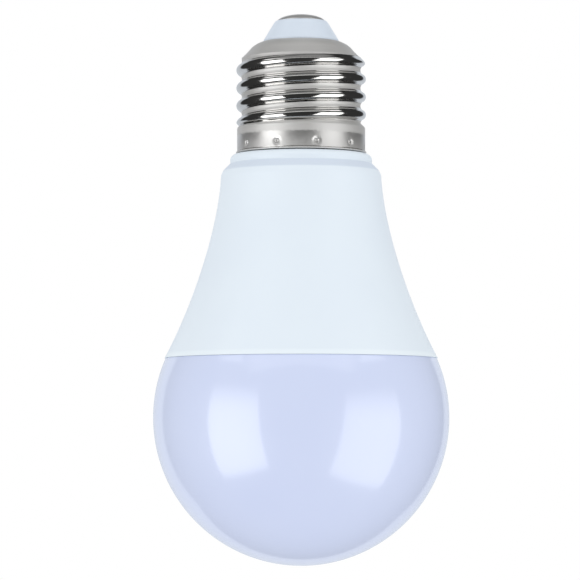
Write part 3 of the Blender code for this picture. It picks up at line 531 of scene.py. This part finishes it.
def insulator_plastic():
    made = Shader("insulator_plastic", (0.70, 0.77, 0.86), 0.35)
    grain = made.noise(1800, 2.0)
    made.tint(made.noise(160), (0.655, 0.735, 0.835), (0.695, 0.775, 0.875))
    made.rough(grain, 0.30, 0.40)
    made.bump(grain, 0.004)
    return made.material


def opal_plastic():
    made = Shader("opal_plastic", (0.63, 0.71, 0.91), 0.30, Specular_IOR_Level=0.25, Coat_Weight=1.0,
                  Coat_Roughness=0.09, Sheen_Weight=0.3, Sheen_Roughness=0.6, Sheen_Tint=(0.8, 0.87, 1, 1))
    cloud = made.noise(38, 3.0)
    made.tint(cloud, (0.64, 0.71, 0.94), (0.665, 0.735, 0.95))
    made.rough(made.noise(500, 2.0), 0.28, 0.34)
    return made.material


# ---------------------------------------------------------------- the shown pieces

def show(piece, material, node):
    piece.data.materials.append(material)
    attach(piece, "root")
    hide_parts(node)
    return piece


NICKEL = nickel()
for cap_piece, cap_node in ((screw_shell(), "screw_shell"), (contact(), "contact_eyelet")):
    satin_finish(show(cap_piece, NICKEL, cap_node))
show(insulator(), insulator_plastic(), "cap_insulator")
show(housing(), housing_plastic(), "housing")
show(globe(), opal_plastic(), "globe_diffuser")


# ---------------------------------------------------------------- inner parts' materials

def spun_aluminium():
    made = Shader("spun_aluminium", (0.80, 0.80, 0.81), 0.33, 1.0)
    marks = made.noise(4200, 2.0, (0.02, 0.02, 1))
    made.tint(made.noise(150), (0.76, 0.76, 0.77), (0.84, 0.84, 0.85))
    made.rough(marks, 0.24, 0.42)
    made.bump(marks, 0.004)
    return made.material


def silicone():
    made = Shader("silicone", (0.86, 0.86, 0.85), 0.42, Coat_Weight=0.2)
    made.tint(made.noise(220), (0.82, 0.83, 0.82), (0.89, 0.89, 0.88))
    made.bump(made.noise(420, 2.0), 0.05)
    return made.material


def gap_pad():
    """Filled elastomer on a fine glass cloth."""
    made = Shader("gap_pad", (0.42, 0.44, 0.47), 0.75)
    made.tint(made.noise(1300), (0.36, 0.38, 0.41), (0.47, 0.49, 0.52))
    across, along = (made.wave(5200, axis) for axis in "XY")
    made.bump(made.combined("ADD", across, along), 0.015)
    return made.material


def laminate(name, mask, copper, glitter):
    """Solder mask over copper: the covered tracks stand a little proud and show lighter.

    glitter is how much the glass weave under the mask changes its shade.
    """
    made = Shader(name, mask, 0.30, Coat_Weight=0.5, Coat_Roughness=0.15)
    tracks = made.spread(made.cells(330), 0, 1, 0.30, 0.34)
    fine = made.spread(made.cells(900), 0, 1, 0.36, 0.42)
    both = made.combined("MAXIMUM", tracks, made.combined("MULTIPLY", fine, 0.6))
    weave = made.spread(made.noise(2600), -glitter, glitter)
    made.tint(made.combined("ADD", both, weave), mask, copper, 0, 1)
    made.bump(both, 0.03)
    return made.material


def ferrite():
    made = Shader("ferrite", (0.09, 0.09, 0.10), 0.55)
    made.tint(made.noise(3200), (0.06, 0.06, 0.065), (0.13, 0.13, 0.14))
    made.rough(made.noise(700), 0.42, 0.65)
    made.bump(made.noise(3200), 0.01)
    return made.material


def wound_drum(node):
    """Ferrite drum whose waist is filled with turns of enamelled copper wire."""
    low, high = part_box(node)
    flange, blur = 1.15 * MM, 0.05 * MM
    made = Shader("wound_drum", (0.09, 0.09, 0.10), 0.5)
    depth = made.axis(made.place, "Y")
    back = made.spread(depth, 0, 1, low.y + flange, low.y + flange + blur)
    front = made.spread(depth, 1, 0, high.y - flange, high.y - flange + blur)
    wire = made.combined("MULTIPLY", back, front)
    made.tint(wire, (0.09, 0.09, 0.10), (0.55, 0.20, 0.07), 0, 1)
    made.drive(made.spread(wire, 0, 0.8, 0, 1), "Metallic")
    made.rough(made.noise(900), 0.32, 0.5)
    made.bump(made.combined("MULTIPLY", made.wave(2400, "Y"), wire), 0.12)
    return made.material


def winding_tape():
    made = Shader("winding_tape", (0.80, 0.62, 0.12), 0.28, Coat_Weight=0.6, Coat_Roughness=0.1)
    made.tint(made.noise(260), (0.74, 0.55, 0.08), (0.86, 0.68, 0.16))
    made.bump(made.noise(420, 2.0, (1, 1, 0.15)), 0.06)
    return made.material


def film_case():
    made = Shader("film_case", (0.80, 0.55, 0.08), 0.32)
    made.tint(made.noise(180), (0.76, 0.50, 0.06), (0.84, 0.60, 0.11))
    made.rough(made.noise(2400), 0.26, 0.40)
    made.bump(made.noise(2400), 0.008)
    return made.material


def can_sleeve(node):
    """Shrunk sleeve with a pale polarity stripe, bare aluminium on top and tinned leads below."""
    low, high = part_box(node)
    rim, lead_length, half_stripe, blur = 0.35 * MM, 2.0 * MM, 1.1 * MM, 0.05 * MM
    made = Shader("can_sleeve", (0.03, 0.05, 0.12), 0.32)
    height = made.axis(made.place, "Z")
    top = made.spread(height, 0, 1, high.z - rim, high.z - rim + blur)
    leads = made.spread(height, 1, 0, low.z + lead_length, low.z + lead_length + blur)
    metal = made.combined("MAXIMUM", top, leads)
    beside = made.combined("SUBTRACT", made.axis(made.place, "X"), (low.x + high.x) / 2)
    off = made.combined("ABSOLUTE", beside, 0)
    stripe = made.spread(off, 0.42, 0, half_stripe, half_stripe + 2 * blur)
    sleeve = made.combined("ADD", stripe, made.spread(made.noise(300), -0.02, 0.02))
    shade = made.combined("MAXIMUM", sleeve, made.combined("MULTIPLY", metal, 0.9))
    made.tint(shade, (0.03, 0.05, 0.12), (0.80, 0.81, 0.83), 0, 1)
    made.drive(metal, "Metallic")
    made.rough(made.noise(500), 0.25, 0.40)
    made.bump(made.noise(500), 0.02)
    return made.material


def banded_resistor(node):
    """Lacquered dog-bone body with plain value bands and tinned leads."""
    low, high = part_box(node)
    middle, body_half = (low.z + high.z) / 2, 4.25 * MM
    made = Shader("banded_resistor", (0.18, 0.42, 0.55), 0.35, Coat_Weight=0.5)
    off = made.combined("SUBTRACT", made.axis(made.place, "Z"), middle)
    bands = made.spread(made.combined("SINE", made.combined("MULTIPLY", off, 2600), 0), 0, 0.45, 0.55, 0.65)
    lead = made.spread(made.combined("ABSOLUTE", off, 0), 0, 1, body_half, body_half + 0.05 * MM)
    made.tint(made.combined("MAXIMUM", bands, lead), (0.16, 0.40, 0.53), (0.80, 0.72, 0.62), 0, 1)
    made.drive(lead, "Metallic")
    made.bump(made.noise(900), 0.02)
    return made.material


def heat_shrink():
    made = Shader("heat_shrink", (0.03, 0.03, 0.03), 0.6)
    made.tint(made.noise(700), (0.022, 0.022, 0.022), (0.045, 0.045, 0.045))
    made.rough(made.noise(1500), 0.5, 0.7)
    made.bump(made.noise(500, 3.0, (1, 1, 0.3)), 0.04)
    return made.material


def zinc_steel():
    made = Shader("zinc_steel", (0.62, 0.63, 0.66), 0.28, 1.0)
    made.tint(made.noise(600), (0.56, 0.57, 0.60), (0.68, 0.69, 0.72))
    made.rough(made.noise(1600), 0.20, 0.38)
    made.bump(made.noise(2500), 0.004)
    return made.material


def connector_nylon():
    made = Shader("connector_nylon", (0.82, 0.79, 0.68), 0.42)
    made.tint(made.noise(240), (0.79, 0.76, 0.64), (0.86, 0.83, 0.73))
    made.rough(made.noise(2200), 0.36, 0.5)
    made.bump(made.noise(2200), 0.008)
    return made.material


def wire_jacket(name, first, second):
    made = Shader(name, first, 0.35)
    made.tint(made.noise(500), first, second)
    made.rough(made.noise(900), 0.28, 0.45)
    made.bump(made.noise(1200), 0.01)
    return made.material


def leaded_package(node):
    """Black epoxy with a fine matt texture; what stands out beyond the body is tinned lead."""
    low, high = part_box(node)
    header_body, lead_reach, blur = 2.55 * MM, 0.97 * MM, 0.03 * MM
    made = Shader(f"{node}_package", (0.02, 0.02, 0.022), 0.5)
    if node == "pin_header":
        body_end = high.z - header_body
        metal = made.spread(made.axis(made.place, "Z"), 1, 0, body_end - blur, body_end)
    else:
        letter = "Y" if node.startswith("led_driver") else "Z"
        side = "XYZ".index(letter)
        off = made.combined("SUBTRACT", made.axis(made.place, letter), (low[side] + high[side]) / 2)
        body_half = (high[side] - low[side]) / 2 - lead_reach
        metal = made.spread(made.combined("ABSOLUTE", off, 0), 0, 1, body_half, body_half + blur)
    grain = made.noise(3800)
    shade = made.combined("MAXIMUM", metal, made.spread(grain, 0, 0.02))
    made.tint(shade, (0.018, 0.018, 0.02), (0.72, 0.72, 0.71), 0, 1)
    made.drive(metal, "Metallic")
    made.rough(grain, 0.38, 0.58)
    made.bump(grain, 0.008)
    return made.material


def led_package(name, node, phosphor, deep):
    """White reflector cup round a window of phosphor in clear resin."""
    low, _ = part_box(node)
    sunk = 0.08 * MM
    made = Shader(name, (0.86, 0.86, 0.85), 0.38)
    facing = made.axis(made.nodes.new("ShaderNodeNewGeometry").outputs["Normal"], "Z")
    down = made.spread(facing, 1, 0, -0.95, -0.85)
    inside = made.spread(made.axis(made.place, "Z"), 0, 1, low.z + sunk, low.z + 1.2 * sunk)
    window = made.combined("MULTIPLY", down, inside)
    speckle = made.combined("MULTIPLY", window, made.spread(made.noise(4200), 0.75, 1.0))
    made.tint(speckle, (0.86, 0.86, 0.85), phosphor, 0, 1)
    made.drive(made.spread(window, 0.42, deep, 0, 1), "Roughness")
    made.bump(made.noise(3000), 0.006)
    return made.material


SHARED_FINISHES = {
    "sink_aluminium": spun_aluminium(),
    "silicone_bead": silicone(),
    "thermal_pad": gap_pad(),
    "solder_mask": laminate("white_mask", (0.84, 0.85, 0.84), (0.90, 0.90, 0.88), 0.1),
    "driver_laminate": laminate("green_mask", (0.02, 0.14, 0.06), (0.05, 0.27, 0.11), 0.06),
    "wifi_laminate": laminate("blue_mask", (0.01, 0.06, 0.20), (0.03, 0.13, 0.34), 0.06),
    "led_warm": led_package("warm_led", "warm_led_1", (0.90, 0.50, 0.08), 0.2),
    "led_cool": led_package("cool_led", "cool_led_1", (0.90, 0.80, 0.22), 0.2),
    "led_rgb": led_package("rgb_led", "rgb_led_1", (0.62, 0.66, 0.64), 0.08),
    "ferrite": ferrite(),
    "winding_tape": winding_tape(),
    "film_case": film_case(),
    "heat_shrink": heat_shrink(),
    "zinc_steel": zinc_steel(),
    "connector_nylon": connector_nylon(),
    "wire_red": wire_jacket("red_jacket", (0.46, 0.02, 0.02), (0.56, 0.04, 0.04)),
    "wire_black": wire_jacket("black_jacket", (0.02, 0.02, 0.024), (0.05, 0.05, 0.055)),
}
OWN_FINISHES = {"emi_choke": wound_drum, "fusible_resistor": banded_resistor,
                "bulk_capacitor": can_sleeve, "output_capacitor": can_sleeve}

def inner_finish(node, slot_name):
    if slot_name == "chip_plastic":
        return leaded_package(node)
    if node in OWN_FINISHES:
        return OWN_FINISHES[node](node)
    return SHARED_FINISHES[slot_name]


for entry in frame["record"]["subparts"]:
    if entry["node"] not in REPLACED:
        finish = inner_finish(entry["node"], entry["material_slot"])
        frame["nodes"][entry["node"]].material_slots[0].material = finish


# ---------------------------------------------------------------- studio and camera

LOOK_AT = Vector((0, 0, (CAD_BOX[0].z + CAD_BOX[1].z) / 2))
AMBIENT = 1.02          # the soft light that falls on the lamp from all round
SURROUNDINGS = 0.04     # the dark room that polished surfaces see between the softboxes
FLOOR_Z = -1.2

# name, azimuth, elevation, distance, size, brightness, fades across and up, slow fade at the top
SOFTBOXES = (
    ("left_softbox", -53.5, -11, 0.6, (0.50, 0.80), 2.8, (0.10, 0.28), 0.35),
    ("right_softbox", 56.5, -16, 0.6, (0.59, 0.86), 2.25, (0.12, 0.28), 0.35),
    ("left_high_softbox", -56, 44, 0.7, (0.6, 0.26), 1.5, (0.3, 0.3), 0),
    ("right_high_softbox", 58, 44, 0.7, (0.6, 0.26), 1.7, (0.3, 0.3), 0),
    ("top_strip", 0, 46, 0.5, (0.9, 0.2), 0.75, (0.3, 0.3), 0),
    ("ceiling", 0, 90, 0.5, (0.5, 0.5), 0.3, (0.3, 0.3), 0),
    ("back_card", -175, 0, 1.2, (2.2, 2.0), 0.75, (0.2, 0.15), 0),
)
BACK_CARD_COLOUR = (0.88, 0.93, 1)

CAMERA_LENS = 217.74
CAMERA_DISTANCE = 0.71
CAMERA_RISE = math.radians(-2.93)
CAMERA_AIM = Vector((-0.00226, 0, -0.055975))


def card(name, size, colour):
    """A flat card of a size in metres, facing its own +Z."""
    mesh = bpy.data.meshes.new(name)
    w, h = size[0] / 2, size[1] / 2
    mesh.from_pydata([(-w, -h, 0), (w, -h, 0), (w, h, 0), (-w, h, 0)], [], [(0, 1, 2, 3)])
    plane = bpy.data.objects.new(name, mesh)
    bpy.context.scene.collection.objects.link(plane)
    made = Shader(f"{name}_surface", colour, 0.9, Specular_IOR_Level=0.0)
    mesh.materials.append(made.material)
    return plane, made


def softbox(name, azimuth, elevation, distance, size, brightness, fade, top_fade, colour):
    """A glowing card that shows in reflections; azimuth 0 is in front, 90 on the right.

    The glow fades over a share of the half-width and of the half-height, and more slowly over a
    share of the height at the top.
    """
    plane, made = card(name, size, (0, 0, 0))
    a, e = math.radians(azimuth), math.radians(elevation)
    away = Vector((math.sin(a) * math.cos(e), -math.cos(a) * math.cos(e), math.sin(e)))
    plane.location = LOOK_AT + away * distance
    plane.rotation_mode = "QUATERNION"
    plane.rotation_quaternion = away.to_track_quat("Z", "Y")
    glow = None
    for letter, length, share in zip("XY", size, fade):
        off = made.combined("ABSOLUTE", made.axis(made.place, letter), 0.0)
        inside = made.spread(off, 1, 0, length / 2 * (1 - share), length / 2, smooth=True)
        glow = inside if glow is None else made.combined("MULTIPLY", glow, inside)
    if top_fade:
        low = size[1] * (0.5 - top_fade)
        upper = made.spread(made.axis(made.place, "Y"), 1, 0.1, low, size[1] / 2, smooth=True)
        glow = made.combined("MULTIPLY", glow, upper)
    made.drive(made.combined("MULTIPLY", glow, brightness), "Emission Strength")
    made.shader.inputs["Emission Color"].default_value = (*colour, 1)
    plane.visible_camera = False
    plane.visible_diffuse = False
    plane.visible_shadow = False


def studio():
    """White to the camera, nearly dark to reflections, and soft even light to everything else."""
    world = bpy.data.worlds.new("studio")
    bpy.context.scene.world = world
    world.use_nodes = True
    nodes, links = world.node_tree.nodes, world.node_tree.links
    background = nodes["Background"]
    background.inputs["Color"].default_value = (1, 1, 1, 1)
    path = nodes.new("ShaderNodeLightPath")
    lighting = nodes.new("ShaderNodeMapRange")
    lighting.inputs["To Min"].default_value = AMBIENT
    lighting.inputs["To Max"].default_value = SURROUNDINGS
    strength = nodes.new("ShaderNodeMapRange")
    strength.inputs["To Max"].default_value = 1.0
    links.new(path.outputs["Is Glossy Ray"], lighting.inputs["Value"])
    links.new(lighting.outputs["Result"], strength.inputs["To Min"])
    links.new(path.outputs["Is Camera Ray"], strength.inputs["Value"])
    links.new(strength.outputs["Result"], background.inputs["Strength"])
    floor, _ = card("floor", (16, 16), (0.9, 0.9, 0.9))
    floor.location = (0, 0, FLOOR_Z)
    floor.visible_glossy = False
    floor.visible_diffuse = False
    floor.visible_shadow = False
    for settings in SOFTBOXES:
        colour = BACK_CARD_COLOUR if settings[0] == "back_card" else (1, 1, 1)
        softbox(*settings, colour)
    bpy.context.scene.view_settings.view_transform = "Standard"


def camera():
    """A long lens just below the lamp's middle, looking slightly up."""
    data = bpy.data.cameras.new("camera")
    data.lens = CAMERA_LENS
    data.sensor_width = 36
    eye = bpy.data.objects.new("camera", data)
    bpy.context.scene.collection.objects.link(eye)
    back = Vector((0, -math.cos(CAMERA_RISE), math.sin(CAMERA_RISE)))
    eye.location = CAMERA_AIM + back * CAMERA_DISTANCE
    eye.rotation_mode = "QUATERNION"
    eye.rotation_quaternion = back.to_track_quat("Z", "Y")
    bpy.context.scene.camera = eye


studio()
camera()
